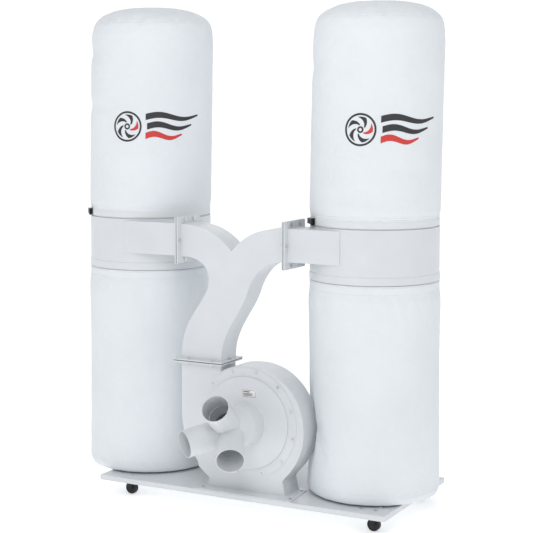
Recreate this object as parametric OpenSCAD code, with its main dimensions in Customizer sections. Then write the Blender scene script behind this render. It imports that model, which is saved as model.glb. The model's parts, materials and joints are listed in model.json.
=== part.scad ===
// Twin-bag dust collector: a centrifugal blower on a wheeled base plate feeds a
// sheet-metal Y duct, which blows into two drums. Each drum carries a filter bag
// above and a collection bag below. Millimetres, +Z up. The floor is z = 0 and the
// origin is the middle of the whole machine's footprint.

/* [Base] */
// Length of the base plate along X
base_l = 1255; // [1240:5:1280]
// Width of the base plate along Y
base_w = 620; // [600:5:640]
// How far the base plate's middle stands to the right of the drums' middle
base_shift = 62; // [50:1:70]
// Height of the casters, from the floor to the underside of the base plate
caster_h = 81; // [78:1:90]
// Diameter of the caster wheels
caster_wheel_d = 50; // [44:1:50]

/* [Drums and bags] */
// Outer diameter of the two drums
drum_d = 500; // [490:1:506]
// Distance between the drums' axes
drum_spacing = 1020; // [1010:1:1040]
// Height of each drum's straight wall
drum_h = 206; // [190:1:220]
// Height of the collection bags, from the base plate to the drum
lower_bag_h = 840; // [820:5:880]
// Height of the filter bags above the drum
upper_bag_h = 864; // [700:5:1100]
// Thickness of the bag cloth
cloth_t = 2; // [1.5:0.1:3]

/* [Blower] */
// How far the blower's axis stands to the right of the drums' middle
blower_x = 84; // [80:1:88]
// Height of the blower's axis above the base plate
blower_rise = 275; // [273:1:280]
// Depth of the blower housing and of the ducts
duct_d = 120; // [112:1:130]
// Scroll radius where the scroll starts, at its tongue
scroll_r0 = 222; // [220:1:224]
// Growth of the scroll radius over three quarters of a turn
scroll_growth = 72; // [70:1:72]
// Diameter of the impeller
impeller_d = 330; // [300:5:350]

/* [Inlet ports] */
// Outer diameter of each inlet port
port_d = 106; // [100:1:110]
// Angle between each port and the blower's axis
port_splay = 36.2; // [35:0.1:38]
// Length of each port's axis, from its root inside the collar
port_l = 182; // [170:1:200]

/* [Sheet metal] */
// Thickness of the duct and drum sheet
sheet_t = 1.5; // [1.2:0.1:2.5]
// Thickness of the blower housing's plates
plate_t = 3; // [2:0.5:3]
// Height of the duct where it enters a drum
duct_h = 128; // [120:1:132]

/* [Hidden] */

$fn = 96;

// Colours
coat = [0.83, 0.85, 0.86];
cloth = [0.90, 0.92, 0.93];
zinc = [0.72, 0.73, 0.74];
black = [0.07, 0.07, 0.08];
rubber = [0.12, 0.12, 0.12];
steel = [0.60, 0.61, 0.63];

// Base
base_t = 3;
lip_h = 20;
lip_t = 3;
base_top = caster_h + base_t;
base_x0 = base_shift - base_l / 2;
caster_inset_x = 88;
caster_inset_y = 80;
caster_plate_l = 80;
caster_plate_w = 64;
caster_plate_t = 3;
caster_cup_r = 21;
caster_trail = 14;
caster_axle_r = 4;
caster_fork_gap = 25;

// Bolts: one size holds everything that stands on the base plate
bolt_r = 4;
bolt_hole_r = 4.5;
bolt_head_r = 7;
bolt_head_h = 5;

// Drums
drum_r = drum_d / 2;
drum_x = drum_spacing / 2;
drum_z = base_top + lower_bag_h;
drum_top = drum_z + drum_h;
spigot_drop = 40;
upper_spigot_r = drum_r - 6;
lower_spigot_r = drum_r - 4;
bead_h = 30;
bead_out = 2;

// Ducts
duct_front = -drum_r;
duct_back = duct_front + duct_d;
duct_z0 = drum_z + 71;
duct_z1 = duct_z0 + duct_h;
flange_w = 28;
outlet_rim = 25;
tongue_rim = 16;
flange_t = 5;
gasket_t = 3;
left_joint_x = -218;
right_joint_x = 254;
joint_half = gasket_t / 2;
drum_duct_start = 33;

// Blower
blower_z = base_top + blower_rise;
blower_front = duct_front - 2;
blower_back = blower_front + duct_d;
tongue_a = -32;
cover_r = 216;
cover_hole_r = 190;
cover_bolt_r = 205;
cover_bolt_a0 = 18;
cover_bolt_n = 12;
disc_r = 182;
disc_out = 10;
cover_face = blower_front - plate_t - disc_out;
outlet_x0 = blower_x - scroll_r0 - scroll_growth;
outlet_x1 = blower_x + scroll_r0 * sin(tongue_a);
outlet_top = base_top + 496;
impeller_r = impeller_d / 2;
impeller_back = blower_back - 15;
impeller_w = 90;
shaft_r = 12.5;
key_gap = 0.05;

// Inlet manifold
collar_r = 85;
collar_l = 72;
cone_l = 103;
cone_tip_r = 53;
port_r = port_d / 2;
port_wall = 2;
port_mouth_l = 85;
port_swage = 1.5;
port_phase = 78.5;
port_n = 3;
port_root_y = cover_face - 127;
port_root_r = 8;
port_reach = port_l * cos(port_splay) + port_r * sin(port_splay);

// The machine's footprint is centred on the origin
rear_reach = base_w / 2;
front_reach = port_reach - port_root_y;
drum_y = (front_reach - rear_reach) / 2;

// Motor
motor_z = blower_z;
adapter_t = 8;
bell_t = 28;
motor_r = 82;
motor_core_r = 72;
bearing_r = 26;
bearing_w = 15;
frame_l = 150;
bell_y0 = blower_back + adapter_t;
frame_y0 = bell_y0 + bell_t;
frame_y1 = frame_y0 + frame_l;
rear_bell_y1 = frame_y1 + bell_t;
fan_cover_y1 = rear_bell_y1 + 44;
air_gap = 0.6;
stator_r = 42;

// Rear posts
post_w = 40;
post_y = rear_reach - 22;
post_top = drum_z + 150;

// Switch box on the motor's left side
switch_l = 110;
switch_w = 80;
switch_h = 56;
switch_y = -20;
switch_z = motor_z + motor_r + 2;
button_r = 11;
button_gap = 0.3;
gland_bore_r = 5;

// Straps and buckles
strap_h = 22;
strap_t = 1.5;
strap_z = drum_top + 8;
strap_r = upper_spigot_r + 1 + cloth_t + 0.4;
buckle_a = -140;
buckle_l = 78;
lever_pin_r = 2;
lever_l = 64;

// ---------------------------------------------------------------- helpers

// Moves a piece from the drums' own plane to its place in the machine
module placed() translate([0, drum_y, 0]) children();

// Extrudes an outline drawn in X and Z, from depth y back towards -Y by t
module upright(y, t) translate([0, y, 0]) rotate([90, 0, 0]) linear_extrude(t) children();

// A cylinder along +Y from y0 to y1, on the axis through x and z
module along_y(x, z, y0, y1, r)
  translate([x, y0, z]) rotate([-90, 0, 0]) cylinder(h = y1 - y0, r = r);

module tube_y(x, z, y0, y1, r_out, r_in)
  difference() {
    along_y(x, z, y0, y1, r_out);
    along_y(x, z, y0 - 1, y1 + 1, r_in);
  }

// A ring of rectangular section in the Y-Z plane, around a duct of outer size w by h
module flange_x(x0, t, y0, w, z0, h, rim)
  difference() {
    translate([x0, y0 - rim, z0 - rim]) cube([t, w + 2 * rim, h + 2 * rim]);
    translate([x0 - 1, y0, z0]) cube([t + 2, w, h]);
  }

// The same ring in the X-Y plane around the outlet, narrower on the side over the scroll
module outlet_ring(z0, t, y0, trim = 0)
  difference() {
    translate([neck_x0 - outlet_rim + trim, y0 - outlet_rim + trim, z0])
      cube([neck_x1 - neck_x0 + outlet_rim + tongue_rim - 2 * trim,
            duct_d + 2 * (outlet_rim - trim), t]);
    translate([neck_x0, y0, z0 - 1]) cube([neck_x1 - neck_x0, duct_d, t + 2]);
  }

// Hexagon bolt with nut, its head on +Z at z = 0 and its grip length going down
module bolt(grip, r = bolt_r, head_r = bolt_head_r, head_h = bolt_head_h) {
  cylinder(h = head_h, r = head_r, $fn = 6);
  translate([0, 0, -grip - head_h - 3]) cylinder(h = grip + head_h + 3, r = r, $fn = 24);
  translate([0, 0, -grip - head_h]) cylinder(h = head_h, r = head_r, $fn = 6);
}

// Cubic curve through p0 and p3, steered by p1 and p2
function curve(p0, p1, p2, p3, n = 14) =
  [for (i = [0:n]) let (t = i / n, s = 1 - t)
    s * s * s * p0 + 3 * s * s * t * p1 + 3 * s * t * t * p2 + t * t * t * p3];

function unit(v) = v / norm(v);
function left_of(v) = [-v[1], v[0]];

// Direction of an open path at point i
function path_dir(p, i) = unit(p[min(i + 1, len(p) - 1)] - p[max(i - 1, 0)]);

// The path moved sideways by t, to its left
function beside(p, t) = [for (i = [0:len(p) - 1]) p[i] + t * left_of(path_dir(p, i))];

function reversed(p) = [for (i = [len(p) - 1:-1:0]) p[i]];

// A sheet strip of thickness t on the left of an open path
module strip(p, t) polygon(concat(p, reversed(beside(p, t))));

// Points of an arc in a bag's or a drum's section
function arc(cx, cz, r, a0, a1, n = 8) =
  [for (i = [0:n]) let (a = a0 + (a1 - a0) * i / n) [cx + r * cos(a), cz + r * sin(a)]];

// ---------------------------------------------------------------- base and casters

function caster_x(right) = right ? base_x0 + base_l - caster_inset_x
                                 : base_x0 + caster_inset_x;
function caster_y(back) = (back ? 1 : -1) * (base_w / 2 - caster_inset_y);

module at_caster(right, back)
  placed() translate([caster_x(right), caster_y(back), 0]) children();

module at_all_casters()
  for (right = [false, true], back = [false, true]) at_caster(right, back) children();

module caster_bolt_places()
  for (sx = [-1, 1], sy = [-1, 1])
    translate([sx * (caster_plate_l / 2 - 10), sy * (caster_plate_w / 2 - 10), 0]) children();

// Bolt places of the blower's foot, measured from the drums' plane
foot_bolt_xy = [[-98, -282], [288, -282], [270, -150], [-100, -150]];

module foot_bolt_places()
  placed() for (p = foot_bolt_xy) translate([p[0], p[1], 0]) children();

module post_bolt_places()
  placed() for (sx = [-1, 1], side = [-1, 1])
    translate([sx * drum_x + side * 36, post_y, 0]) children();

module base_plate() color(coat) difference() {
  placed() translate([base_x0, -base_w / 2, 0]) union() {
    translate([0, 0, caster_h]) cube([base_l, base_w, base_t]);
    for (y = [0, base_w - lip_t])
      translate([0, y, base_top - lip_h]) cube([base_l, lip_t, lip_h - 1]);
    for (x = [0, base_l - lip_t])
      translate([x, 0, base_top - lip_h]) cube([lip_t, base_w, lip_h - 1]);
  }
  translate([0, 0, caster_h - 1]) {
    at_all_casters() caster_bolt_places() cylinder(h = base_t + 2, r = bolt_hole_r);
    foot_bolt_places() cylinder(h = base_t + 2, r = bolt_hole_r);
    post_bolt_places() cylinder(h = base_t + 2, r = bolt_hole_r);
  }
}

// Top plate with the pressed cup that holds the swivel's balls
module caster_plates() color(black) at_all_casters() difference() {
  union() {
    translate([-caster_plate_l / 2, -caster_plate_w / 2, caster_h - caster_plate_t])
      cube([caster_plate_l, caster_plate_w, caster_plate_t]);
    translate([0, 0, caster_h - 9]) cylinder(h = 7, r = caster_cup_r);
  }
  caster_bolt_places() translate([0, 0, caster_h - 12]) cylinder(h = 14, r = bolt_hole_r);
  translate([0, 0, caster_h - 10]) cylinder(h = 12, r = 5.05);
}

// Swivel fork: king pin, crown and two cheeks, with the axle across them
module caster_fork() color(black) {
  cheek_x = caster_trail;
  axle_z = caster_wheel_d / 2;
  crown_z = caster_h - 12.3;
  translate([0, 0, crown_z]) cylinder(h = 3, r = caster_cup_r);
  translate([0, 0, crown_z]) cylinder(h = 12, r = 5);
  for (s = [-1, 1])
    translate([0, s * (caster_fork_gap / 2 + 1.25), 0]) rotate([90, 0, 0])
      translate([0, 0, -1.25]) linear_extrude(2.5) polygon([
        [-caster_cup_r + 8, crown_z + 3], [caster_cup_r - 4, crown_z + 3],
        [cheek_x + 9, axle_z + 4], [cheek_x + 5, axle_z - 8],
        [cheek_x - 5, axle_z - 8], [cheek_x - 9, axle_z]]);
  translate([cheek_x, 0, axle_z]) rotate([90, 0, 0])
    cylinder(h = caster_fork_gap + 9, r = caster_axle_r, center = true);
}

// Wheel with a tyre tread, a recessed hub and a bore that runs on the axle
module caster_wheel() color(rubber)
  translate([caster_trail, 0, caster_wheel_d / 2]) rotate([90, 0, 0]) rotate_extrude() {
    r = caster_wheel_d / 2;
    polygon([[caster_axle_r + 0.06, -11], [9, -11], [9, -8], [17, -8], [19, -10],
             [r - 2, -10], [r, -8], [r, 8], [r - 2, 10], [19, 10], [17, 8], [9, 8],
             [9, 11], [caster_axle_r + 0.06, 11]]);
  }

module caster_fork_fl() at_caster(false, false) caster_fork();
module caster_fork_fr() at_caster(true, false) caster_fork();
module caster_fork_bl() at_caster(false, true) caster_fork();
module caster_fork_br() at_caster(true, true) caster_fork();
module caster_wheel_fl() at_caster(false, false) caster_wheel();
module caster_wheel_fr() at_caster(true, false) caster_wheel();
module caster_wheel_bl() at_caster(false, true) caster_wheel();
module caster_wheel_br() at_caster(true, true) caster_wheel();

// Bolts through the base plate: casters, blower foot and rear posts
module base_bolts() color(zinc) {
  translate([0, 0, base_top]) at_all_casters() caster_bolt_places()
    bolt(base_t + caster_plate_t);
  translate([0, 0, base_top + foot_t]) foot_bolt_places() bolt(base_t + foot_t);
  translate([0, 0, base_top + foot_t]) post_bolt_places() bolt(base_t + foot_t);
}

// ---------------------------------------------------------------- blower housing

foot_t = 4;
function scroll_r(a) = scroll_r0 + scroll_growth * max(a, 0) / 270;
function scroll_point(a) =
  [blower_x + scroll_r(a) * sin(a), blower_z + scroll_r(a) * cos(a)];
function scroll_arc(a0, a1, n) = [for (i = [0:n]) scroll_point(a0 + (a1 - a0) * i / n)];
scroll_points = scroll_arc(tongue_a, 270, 60);

// Pedestal edges, from the scroll down to the foot plate and up to the scroll again
right_leave_a = 140;
left_leave_a = 232;
right_pedestal = [scroll_point(right_leave_a), [239, base_top + 60],
                  [252, base_top + foot_t]];
left_pedestal = [[-90, base_top + foot_t], [-85, base_top + 37], [-132, base_top + 75],
                 scroll_point(left_leave_a)];

module housing_outline() polygon(concat(
  scroll_arc(tongue_a, right_leave_a - 2, 34), right_pedestal, left_pedestal,
  scroll_arc(left_leave_a + 2, 270, 8), [[outlet_x0, outlet_top], [outlet_x1, outlet_top]]));

module blower_front_panel() color(coat) placed() difference() {
  upright(blower_front + plate_t, plate_t) housing_outline();
  along_y(blower_x, blower_z, blower_front - 1, blower_front + plate_t + 1, cover_hole_r);
  cover_bolt_places() cylinder(h = 40, r = 3.3, center = true, $fn = 24);
}

module blower_back_panel() color(coat) placed() difference() {
  upright(blower_back, plate_t) housing_outline();
  along_y(blower_x, blower_z, blower_back - plate_t - 1, blower_back + 1, 30);
  adapter_bolt_places() cylinder(h = 40, r = bolt_hole_r, center = true);
}

// The strip that wraps around the scroll, and the short wall of the outlet's tongue
module scroll_wall() color(coat) placed()
  upright(blower_back - plate_t, duct_d - 2 * plate_t) {
    strip(reversed(concat(scroll_points, [[outlet_x0, outlet_top]])), plate_t);
    translate([outlet_x1, blower_z + scroll_r0 * cos(tongue_a) - 4])
      square([plate_t, outlet_top - blower_z - scroll_r0 * cos(tongue_a) + 4]);
  }

module pedestal_sides() color(coat) placed()
  upright(blower_back - plate_t, duct_d - 2 * plate_t) difference() {
    union() {
      strip(left_pedestal, -plate_t);
      strip(right_pedestal, -plate_t);
    }
    polygon(concat(scroll_points, [[outlet_x0, blower_z + 200], [blower_x, blower_z]]));
    translate([blower_x - base_l / 2, 0]) square([base_l, base_top + foot_t]);
  }

// Foot plate with its wide front flange
module foot_plate() color(coat) placed() difference() {
  translate([0, 0, base_top]) linear_extrude(foot_t)
    polygon([[-112, -308], [304, -308], [284, -128], [-112, -128]]);
  for (p = foot_bolt_xy)
    translate([p[0], p[1], base_top - 1]) cylinder(h = foot_t + 2, r = bolt_hole_r);
}

module outlet_flange() color(coat) placed()
  difference() {
    outlet_ring(outlet_top - flange_t, flange_t, blower_front);
    outlet_bolt_places() cylinder(h = 60, r = bolt_hole_r, center = true);
  }

// ---------------------------------------------------------------- inlet cover and ports

module cover_bolt_places()
  for (i = [0:cover_bolt_n - 1])
    let (a = cover_bolt_a0 + i * 360 / cover_bolt_n)
      translate([blower_x + cover_bolt_r * cos(a), blower_front,
                 blower_z + cover_bolt_r * sin(a)]) rotate([90, 0, 0]) children();

// Bolted ring with a raised, round-edged disc and a hole for the collar
module inlet_cover() color(coat) placed() difference() {
  translate([blower_x, blower_front, blower_z]) rotate([90, 0, 0]) rotate_extrude() {
    round_r = 5;
    out = plate_t + disc_out;
    polygon(concat(
      [[cover_r, 0], [cover_r, plate_t], [disc_r, plate_t]],
      arc(disc_r - round_r, out - round_r, round_r, 0, 90, 6),
      [[collar_r - port_wall, out], [collar_r - port_wall, out - plate_t],
       [disc_r - plate_t - 2, out - plate_t], [disc_r - plate_t, out - plate_t - 2],
       [disc_r - plate_t, 0]]));
  }
  cover_bolt_places() cylinder(h = 40, r = 3.3, center = true, $fn = 24);
}

module cover_bolts() color(zinc) placed()
  cover_bolt_places() translate([0, 0, plate_t])
    bolt(2 * plate_t, r = 3, head_r = 5.5, head_h = 4);

// The ports stand evenly around the blower's axis and lean away from it
module at_port(i)
  translate([blower_x, port_root_y, blower_z])
    rotate([0, -(port_phase + i * 360 / port_n), 0]) translate([port_root_r, 0, 0])
      rotate([90, 0, 0]) rotate([0, port_splay, 0]) children();

// Everything nearer to port i than to its neighbours: the ports are mitred along its sides
module port_sector(i) {
  reach = 400;
  half = reach * tan(180 / port_n);
  translate([blower_x, cover_face, blower_z]) rotate([0, -(port_phase + i * 360 / port_n), 0])
    upright(0, reach) polygon([[0, 0], [reach, -half], [reach, half]]);
}

// A port's tube, swaged out a little at its mouth, where the hose goes on
module port_tube() rotate_extrude() {
  neck_r = port_r - port_swage;
  mouth_h = port_l - port_mouth_l;
  polygon([[neck_r - port_wall, 0], [neck_r, 0], [neck_r, mouth_h], [port_r, mouth_h],
           [port_r, port_l], [port_r - port_wall, port_l], [port_r - port_wall, mouth_h],
           [neck_r - port_wall, mouth_h]]);
}

// Collar and cone that carry the ports: inset 0 gives the outside, the sheet the inside
module collar_body(inset) {
  end = inset > 0 ? 1 : 0;
  along_y(blower_x, blower_z, cover_face - collar_l, cover_face + end, collar_r - inset);
  translate([blower_x, cover_face - collar_l, blower_z]) rotate([90, 0, 0])
    cylinder(h = cone_l - inset, r1 = collar_r - inset, r2 = cone_tip_r - inset);
}

module inlet_collar() color(coat) placed() difference() {
  collar_body(0);
  collar_body(port_wall);
  for (i = [0:port_n - 1])
    at_port(i) cylinder(h = port_l, r = port_r - port_swage - port_wall);
}

// Three ports, mitred to each other and set on the cone
module inlet_ports() color(coat) placed() for (i = [0:port_n - 1]) difference() {
  intersection() {
    at_port(i) port_tube();
    port_sector(i);
  }
  collar_body(0);
}

module data_label() color("white") placed()
  translate([68, cover_face - 0.6, base_top + 377]) cube([64, 0.6, 32]);

// ---------------------------------------------------------------- Y duct

crotch = [15, base_top + 940];
neck_z = outlet_top + gasket_t;
left_arm_x = left_joint_x + joint_half;
right_arm_x = right_joint_x - joint_half;
left_waist = [-86, base_top + 818];
right_waist = [80, base_top + 771];
neck_x0 = outlet_x0;
neck_x1 = outlet_x1 + plate_t;
straight_end = flange_t + 1;

left_top_edge = curve([left_arm_x, duct_z1], [-105, duct_z1], [-48, base_top + 1004], crotch);
right_top_edge = curve(crotch, [64, base_top + 998], [125, duct_z1], [right_arm_x, duct_z1]);
left_low_edge = concat(
  [[left_arm_x, duct_z0]],
  curve([left_arm_x + straight_end, duct_z0], [-122, duct_z0], [-84, base_top + 875], left_waist),
  [for (p = curve(left_waist, [-88, base_top + 736], [neck_x0, base_top + 676],
                  [neck_x0, neck_z + 20])) if (p != left_waist) p],
  [[neck_x0, neck_z]]);
right_low_edge = concat(
  [[right_arm_x, duct_z0]],
  curve([right_arm_x - straight_end, duct_z0], [148, duct_z0], [106, base_top + 846], right_waist),
  [for (p = curve(right_waist, [56, base_top + 700], [neck_x1, base_top + 620],
                  [neck_x1, neck_z + 20])) if (p != right_waist) p],
  [[neck_x1, neck_z]]);

module y_outline() polygon(concat(
  reversed(left_low_edge), left_top_edge,
  [for (i = [1:len(right_top_edge) - 1]) right_top_edge[i]], right_low_edge));

module y_wall(path, side) upright(duct_back - sheet_t, duct_d - 2 * sheet_t)
  strip(path, side * sheet_t);

module y_duct_front() color(coat) placed() upright(duct_front + sheet_t, sheet_t) y_outline();
module y_duct_back() color(coat) placed() upright(duct_back, sheet_t) y_outline();
module y_duct_left_wall() color(coat) placed() y_wall(left_low_edge, 1);
module y_duct_right_wall() color(coat) placed() y_wall(right_low_edge, -1);

// The roof of both arms, folded at the crotch
module y_duct_crotch_wall() color(coat) placed()
  upright(duct_back - sheet_t, duct_d - 2 * sheet_t) {
    strip(left_top_edge, -sheet_t);
    strip(right_top_edge, -sheet_t);
  }

// Bolt places around an arm's end: one beside each upright side, two along the others
module joint_bolt_places(x) {
  reach = flange_w / 2 + 1;
  translate([x, (duct_front + duct_back) / 2, (duct_z0 + duct_z1) / 2])
    rotate([0, 90, 0]) rotate([0, 0, 90]) for (s = [-1, 1]) {
      translate([s * (duct_d / 2 + reach), 0, 0]) children();
      for (t = [-1, 1]) translate([t * 35, s * (duct_h / 2 + reach), 0]) children();
    }
}

module outlet_bolt_places() {
  mid_x = (neck_x0 + neck_x1) / 2;
  mid_y = (blower_front + blower_back) / 2;
  for (x = [neck_x0 - outlet_rim / 2, neck_x1 + tongue_rim / 2])
    translate([x, mid_y, outlet_top]) children();
  for (sx = [-1, 1], sy = [-1, 1])
    translate([mid_x + sx * 53, mid_y + sy * (duct_d + outlet_rim) / 2, outlet_top]) children();
}

module joint_holes() {
  for (x = [left_joint_x, right_joint_x])
    joint_bolt_places(x) cylinder(h = 60, r = bolt_hole_r, center = true);
  outlet_bolt_places() cylinder(h = 60, r = bolt_hole_r, center = true);
}

module y_duct_flanges() color(coat) placed() difference() {
  union() {
    flange_x(left_arm_x, flange_t, duct_front, duct_d, duct_z0, duct_h, flange_w);
    flange_x(right_arm_x - flange_t, flange_t, duct_front, duct_d, duct_z0, duct_h, flange_w);
    outlet_ring(neck_z, flange_t, duct_front);
  }
  joint_holes();
}

module flange_gaskets() color(rubber) placed() difference() {
  union() {
    for (x = [left_joint_x, right_joint_x])
      flange_x(x - joint_half, gasket_t, duct_front, duct_d, duct_z0, duct_h, flange_w - 1);
    outlet_ring(outlet_top, gasket_t, duct_front, 1);
  }
  joint_holes();
}

module flange_bolts() color(zinc) placed() {
  grip = 2 * flange_t + gasket_t;
  joint_bolt_places(left_joint_x + grip / 2) bolt(grip);
  joint_bolt_places(right_joint_x + grip / 2) bolt(grip);
  translate([0, 0, gasket_t + flange_t]) outlet_bolt_places() bolt(grip);
}

// ---------------------------------------------------------------- drums

// Section of the drum's wall: lower spigot, bead, wall, shoulder and upper spigot
drum_section = [
  [lower_spigot_r, drum_z - spigot_drop], [lower_spigot_r, drum_z],
  [drum_r + bead_out, drum_z], [drum_r + bead_out, drum_z + bead_h - 2],
  [drum_r, drum_z + bead_h], [drum_r, drum_top], [upper_spigot_r, drum_top],
  [upper_spigot_r, drum_top + spigot_drop + 2],
  [upper_spigot_r - sheet_t, drum_top + spigot_drop + 2],
  [upper_spigot_r - sheet_t, drum_top - sheet_t], [drum_r - sheet_t, drum_top - sheet_t],
  [drum_r - sheet_t, drum_z + bead_h], [drum_r, drum_z + bead_h - 2],
  [drum_r, drum_z + sheet_t], [lower_spigot_r - sheet_t, drum_z + sheet_t],
  [lower_spigot_r - sheet_t, drum_z - spigot_drop]];

// Inside of the duct that enters a drum from the machine's middle, as a long box
module drum_duct_space(side, joint_x, inset) {
  x0 = side * drum_x - side * drum_duct_start;
  reach = abs(joint_x - x0) + 1;
  translate([side > 0 ? x0 - reach : x0, duct_front + inset, duct_z0 + inset])
    cube([reach, duct_d - 2 * inset, duct_h - 2 * inset]);
}

module drum(side, joint_x) color(coat) placed() difference() {
  translate([side * drum_x, 0, 0]) rotate_extrude() polygon(drum_section);
  drum_duct_space(side, joint_x, sheet_t);
}

module left_drum() drum(-1, left_joint_x);
module right_drum() drum(1, right_joint_x);

// Square duct that runs into the drum along its front tangent, with its end flange
module drum_duct(side, joint_x) color(coat) placed() difference() {
  end_x = joint_x + side * joint_half;
  union() {
    intersection() {
      drum_duct_space(side, joint_x, 0);
      translate([side > 0 ? end_x : end_x - 600, duct_front, duct_z0])
        cube([600, duct_d, duct_h]);
    }
    translate([side > 0 ? end_x : end_x - flange_t, duct_front - flange_w,
               duct_z0 - flange_w])
      cube([flange_t, duct_d + 2 * flange_w, duct_h + 2 * flange_w]);
  }
  drum_duct_space(side, joint_x, sheet_t);
  translate([side * drum_x, 0, duct_z0 - 1]) cylinder(h = duct_h + 2, r = drum_r);
  joint_bolt_places(joint_x) cylinder(h = 60, r = bolt_hole_r, center = true);
}

module left_drum_duct() drum_duct(-1, left_joint_x);
module right_drum_duct() drum_duct(1, right_joint_x);

// Posts behind the drums: foot, square tube and the saddle that the drum is bolted to
module rear_posts() color(coat) placed() for (side = [-1, 1])
  difference() {
    union() {
      translate([side * drum_x, post_y, 0]) {
        translate([-50, -19, base_top]) cube([100, 38, foot_t]);
        difference() {
          translate([-post_w / 2, -post_w / 2, base_top]) cube([post_w, post_w, post_top - base_top]);
          translate([-post_w / 2 + 2, -post_w / 2 + 2, base_top + foot_t])
            cube([post_w - 4, post_w - 4, post_top - base_top]);
        }
      }
      translate([side * drum_x - 45, drum_r - 20, drum_z + 50])
        cube([90, post_y - post_w / 2 - drum_r + 20, 90]);
    }
    translate([side * drum_x, 0, drum_z]) cylinder(h = drum_h, r = drum_r);
    for (s = [-1, 1])
      translate([side * drum_x + s * 36, post_y, base_top - 1])
        cylinder(h = foot_t + 2, r = bolt_hole_r);
  }

// ---------------------------------------------------------------- bags and clamps

upper_mouth_r = upper_spigot_r + 1 + cloth_t;
lower_mouth_r = lower_spigot_r + 3 + cloth_t;

// Outside of a filter bag: mouth, straight cloth, round shoulder and low crown.
// grow < 0 gives the inside.
function filter_section(grow) = let (
    top = drum_top + upper_bag_h, r_top = 246, round_r = 50, crown = 20)
  concat(
    [[0, drum_top + 2 + (grow < 0 ? -5 : 0)],
     [upper_mouth_r + grow, drum_top + 2 + (grow < 0 ? -5 : 0)],
     [upper_mouth_r + grow, drum_top + 42], [drum_r + 2 + grow, drum_top + 62]],
    arc(r_top - round_r, top - crown - round_r, round_r + grow, 0, 80, 7),
    [[0, top + grow]]);

// Outside of a collection bag, standing on the base plate
function collection_section(grow) = let (
    bottom = base_top + 0.3, top = drum_z - 1, round_r = 50, r = drum_r + 2)
  concat(
    [[0, top + (grow < 0 ? 5 : 0)], [lower_mouth_r + grow, top + (grow < 0 ? 5 : 0)],
     [lower_mouth_r + grow, top - 42], [drum_r + 8 + grow, top - 62],
     [r + 2 + grow, top - 160]],
    arc(r - round_r, bottom + round_r, round_r + grow, 0, -90, 8),
    [[0, bottom - grow]]);

module filter_bag(side) color(cloth) placed() translate([side * drum_x, 0, 0])
  difference() {
    rotate_extrude() polygon(filter_section(0));
    rotate_extrude() polygon(filter_section(-cloth_t));
  }

// The blower's rear edge presses a dent into the right-hand collection bag
module scroll_dent(gap) difference() {
  along_y(blower_x, blower_z, blower_back - 140, blower_back + gap,
          scroll_r(right_leave_a) + gap);
  along_y(blower_x, blower_z, blower_back - 141, blower_back + gap + 1, 100);
}

// The caster bolts' heads that are under a bag press dents into its bottom
module bolt_dents(gap, right)
  for (back = [false, true], along = [-1, 1]) let (
      y = caster_y(back) + (back ? -1 : 1) * (caster_plate_w / 2 - 10))
    translate([caster_x(right) + along * (caster_plate_l / 2 - 10), y, base_top - 1])
      cylinder(h = bolt_head_h + 1 + gap, r = bolt_head_r + gap, $fn = 24);

module left_collection_bag() color(cloth) placed() difference() {
  difference() {
    translate([-drum_x, 0, 0]) rotate_extrude() polygon(collection_section(0));
    bolt_dents(1, false);
  }
  difference() {
    translate([-drum_x, 0, 0]) rotate_extrude() polygon(collection_section(-cloth_t));
    bolt_dents(1 + cloth_t, false);
  }
}

module right_collection_bag() color(cloth) placed() difference() {
  difference() {
    translate([drum_x, 0, 0]) rotate_extrude() polygon(collection_section(0));
    scroll_dent(6);
    bolt_dents(1, true);
  }
  difference() {
    translate([drum_x, 0, 0]) rotate_extrude() polygon(collection_section(-cloth_t));
    scroll_dent(6 + cloth_t);
    bolt_dents(1 + cloth_t, true);
  }
}

module left_filter_bag() filter_bag(-1);
module right_filter_bag() filter_bag(1);

// Straps that hold the filter bags on the upper spigots
module bag_straps() color(cloth) placed() for (side = [-1, 1])
  translate([side * drum_x, 0, strap_z]) difference() {
    cylinder(h = strap_h, r = strap_r + strap_t);
    translate([0, 0, -1]) cylinder(h = strap_h + 2, r = strap_r);
  }

// Spring-steel bands sewn into the collection bags' hems
module snap_bands() color(steel) placed() for (side = [-1, 1])
  translate([side * drum_x, 0, drum_z - 32]) difference() {
    cylinder(h = 20, r = lower_spigot_r + 2.4);
    translate([0, 0, -1]) cylinder(h = 22, r = lower_spigot_r + 0.4);
  }

module at_buckle(side)
  placed() translate([side * drum_x, 0, strap_z]) rotate([0, 0, buckle_a])
    translate([strap_r + strap_t + 0.2, 0, 0]) children();

lever_pin_x = 8;
lever_pin_y = buckle_l / 2 - 8;

// Buckle body: a channel on the strap with two ears for the lever's pin
module buckle_frame() color(black) {
  difference() {
    translate([0, -buckle_l / 2, 0]) cube([2.5, buckle_l, strap_h]);
    translate([-strap_r - strap_t, 0, -1]) cylinder(h = strap_h + 2, r = strap_r + strap_t + 0.2);
  }
  for (z = [-2.5, strap_h])
    translate([-1, lever_pin_y - 9, z]) cube([lever_pin_x + 5, 17, 2.5]);
  translate([lever_pin_x, lever_pin_y, -2.5]) cylinder(h = strap_h + 5, r = lever_pin_r);
}

module buckle_frames() for (side = [-1, 1]) at_buckle(side) buckle_frame();

// Cam lever on the pin, lying along the buckle when it is shut
module clamp_lever() color(black) difference() {
  union() {
    translate([lever_pin_x, lever_pin_y, 0.3]) cylinder(h = strap_h - 0.6, r = 4.5);
    translate([lever_pin_x - 2, lever_pin_y - lever_l, 0.3])
      cube([5, lever_l, strap_h - 0.6]);
  }
  translate([lever_pin_x, lever_pin_y, -1]) cylinder(h = strap_h + 2, r = lever_pin_r + 0.06);
}

module left_clamp_lever() at_buckle(-1) clamp_lever();
module right_clamp_lever() at_buckle(1) clamp_lever();

// ---------------------------------------------------------------- motor

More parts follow.
